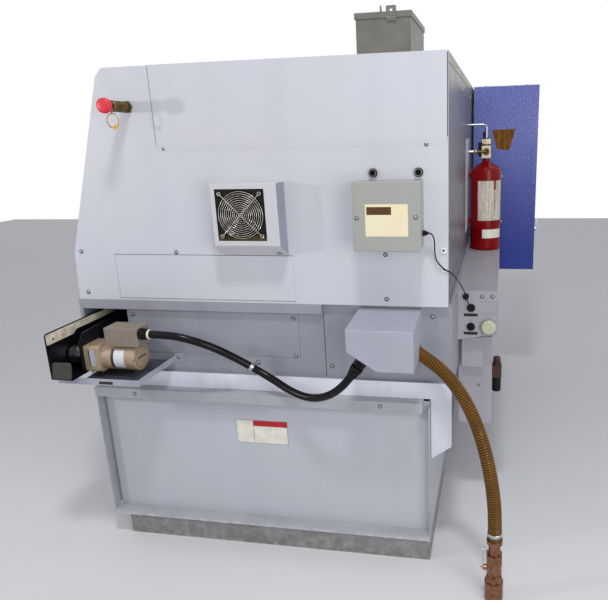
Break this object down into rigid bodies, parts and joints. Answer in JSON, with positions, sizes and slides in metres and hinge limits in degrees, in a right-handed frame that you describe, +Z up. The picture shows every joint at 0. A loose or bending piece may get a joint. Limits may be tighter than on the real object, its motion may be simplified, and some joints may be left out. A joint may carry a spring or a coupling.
{
  "type": "swiss-type lathe",
  "caption": "Enclosed sliding-headstock lathe on a drip-pan base, with a side chip conveyor, pull-out coolant tank, drain hose, rear electrical cabinet and fire bottle.",
  "frame": {"origin": "on the floor, under the middle of the conveyor-end face of the machine", "axes": "+X out of the conveyor end, -Y towards the operator, +Z up"},
  "size_m": [2.335, 1.669, 1.89],
  "materials": {
    "housing_paint": "pale lilac-white powder coat, light orange peel",
    "panel_paint": "grey-lilac semi-gloss paint",
    "apron_paint": "pale lilac-grey paint",
    "frame_paint": "light grey paint, scuffed",
    "tank_paint": "blue-grey paint, stained along its foot",
    "box_paint": "grey-green enamel",
    "blue_hammer": "blue hammered paint",
    "bottle_red": "glossy red enamel",
    "roof_grey": "dull grey paint",
    "knob_red": "red gloss plastic",
    "old_brass": "dulled brass",
    "valve_bronze": "dark bronze with verdigris in its corners",
    "black_rubber": "black rubber",
    "black_plastic": "black moulded plastic",
    "amber_hose": "amber PVC hose with ribs",
    "motor_paint": "beige cast paint",
    "terminal_paint": "grey-beige paint",
    "black_plate": "black painted plate, oily",
    "bright_steel": "ground steel",
    "cast_paint": "grey-green machine paint over casting",
    "zinc": "zinc-plated steel",
    "panel_black": "dark textured paint",
    "handle_alloy": "satin aluminium"
  },
  "bodies": {
    "machine": {"access_plates": "housing_paint", "air_regulator": "old_brass", "base_deck": "panel_paint", "base_end_panel": "apron_paint", "base_pedestal": "tank_paint", "bottle": "bottle_red", "bottle_bracket": "zinc", "bottle_valve": "old_brass", "cable_glands": "black_plastic", "connector_sockets": "black_plastic", "control_panel": "panel_black", "conveyor_belt": "bright_steel", "conveyor_frame": "black_plate", "conveyor_tray": "panel_paint", "coolant_hose": "amber_hose", "coolant_tank": "tank_paint", "discharge_tube": "bright_steel", "drive_rack": "zinc", "electrical_cabinet": "blue_hammer", "enclosure_shell": "housing_paint", "end_cover": "housing_paint", "fan_body": "black_plastic", "fan_cover": "housing_paint", "fan_guard": "bright_steel", "front_frame": "housing_paint", "gearmotor": "motor_paint", "hose_cover": "panel_paint", "hose_valve": "valve_bronze", "junction_box": "box_paint", "junction_box_lid": "box_paint", "levelling_feet": "zinc", "machine_bed": "cast_paint", "mid_panel": "panel_paint", "motor_conduit": "black_rubber", "pull_body": "old_brass", "pump_cabinet": "tank_paint", "rear_duct": "housing_paint", "roof_box": "roof_grey", "roof_cover": "housing_paint", "sensor_cable": "black_rubber", "tank_frame": "frame_paint", "terminal_box": "terminal_paint"},
    "fan": {"fan_rotor": "black_plastic"},
    "palm_knob": {"pull_knob": "knob_red"},
    "pin": {"safety_pin": "bright_steel"},
    "lever": {"valve_lever": "zinc"},
    "conveyor_drive": {"drive_roller": "bright_steel"},
    "selector": {"selector_knob": "black_plastic"},
    "cabinet_leaf": {"cabinet_door": "blue_hammer"},
    "latch": {"cabinet_latch": "black_plastic"},
    "door": {"cabin_door": "housing_paint"},
    "e_stop": {"e_stop_button": "knob_red"},
    "wheel": {"handwheel": "handle_alloy"},
    "headstock_carriage": {"headstock": "cast_paint"},
    "spindle": {"main_spindle": "bright_steel"},
    "bush": {"guide_bush": "bright_steel"},
    "tool_slide": {"cross_slide": "cast_paint"},
    "tool_post": {"gang_tool_post": "bright_steel"},
    "sub_carriage": {"sub_spindle_head": "cast_paint"},
    "back_spindle": {"sub_spindle": "bright_steel"}
  },
  "joints": [
    {"name": "fan_spin", "type": "hinge", "parent": "machine", "child": "fan", "pos_m": [0.0467, 0.011, 1.246], "axis": [1, 0, 0], "continuous": true},
    {"name": "palm_knob_press", "type": "slide", "parent": "machine", "child": "palm_knob", "axis": [-1, 0, 0], "range_m": [0, 0.008]},
    {"name": "safety_pin_pull", "type": "slide", "parent": "machine", "child": "pin", "axis": [0, 0, -1], "range_m": [0, 0.045]},
    {"name": "valve_lever_turn", "type": "hinge", "parent": "machine", "child": "lever", "pos_m": [0.163, 0.7772, 0.118], "axis": [0, 1, 0], "range_deg": [0, 90]},
    {"name": "conveyor_drive_spin", "type": "hinge", "parent": "machine", "child": "conveyor_drive", "pos_m": [0.12, -0.58, 0.782], "axis": [0, 1, 0], "continuous": true},
    {"name": "selector_turn", "type": "hinge", "parent": "machine", "child": "selector", "pos_m": [-0.285, 0.692, 0.904], "axis": [1, 0, 0], "range_deg": [-60, 60]},
    {"name": "cabinet_door_swing", "type": "hinge", "parent": "machine", "child": "cabinet_leaf", "pos_m": [-2.056, 0.965, 1.224], "axis": [0, 0, 1], "range_deg": [0, 110]},
    {"name": "cabinet_latch_turn", "type": "hinge", "parent": "cabinet_leaf", "child": "latch", "pos_m": [-1.505, 0.997, 0.966], "axis": [0, 1, 0], "range_deg": [-90, 0]},
    {"name": "door_slide", "type": "slide", "parent": "machine", "child": "door", "axis": [-1, 0, 0], "range_m": [0, 0.6]},
    {"name": "e_stop_press", "type": "slide", "parent": "machine", "child": "e_stop", "axis": [0, 0.955, -0.2966], "range_m": [0, 0.005], "stiffness_N_per_m": 600},
    {"name": "handwheel_turn", "type": "hinge", "parent": "machine", "child": "wheel", "pos_m": [-0.49, -0.57492, 1.23421], "axis": [0, -0.955, 0.2966], "continuous": true},
    {"name": "headstock_travel", "type": "slide", "parent": "machine", "child": "headstock_carriage", "axis": [1, 0, 0], "range_m": [0, 0.09]},
    {"name": "main_spindle_spin", "type": "hinge", "parent": "headstock_carriage", "child": "spindle", "pos_m": [-1.68, -0.23, 1.29], "axis": [1, 0, 0], "continuous": true},
    {"name": "guide_bush_spin", "type": "hinge", "parent": "machine", "child": "bush", "pos_m": [-1.4, -0.23, 1.29], "axis": [1, 0, 0], "continuous": true},
    {"name": "tool_slide_travel", "type": "slide", "parent": "machine", "child": "tool_slide", "axis": [0, 0, 1], "range_m": [-0.05, 0.05]},
    {"name": "tool_post_travel", "type": "slide", "parent": "tool_slide", "child": "tool_post", "axis": [0, -1, 0], "range_m": [0, 0.04]},
    {"name": "sub_head_travel", "type": "slide", "parent": "machine", "child": "sub_carriage", "axis": [-1, 0, 0], "range_m": [0, 0.14]},
    {"name": "sub_spindle_spin", "type": "hinge", "parent": "sub_carriage", "child": "back_spindle", "pos_m": [-0.79, -0.23, 1.29], "axis": [1, 0, 0], "continuous": true}
  ],
  "couplings": [
    {"joint": "guide_bush_spin", "follows": "main_spindle_spin", "ratio": 1}
  ]
}
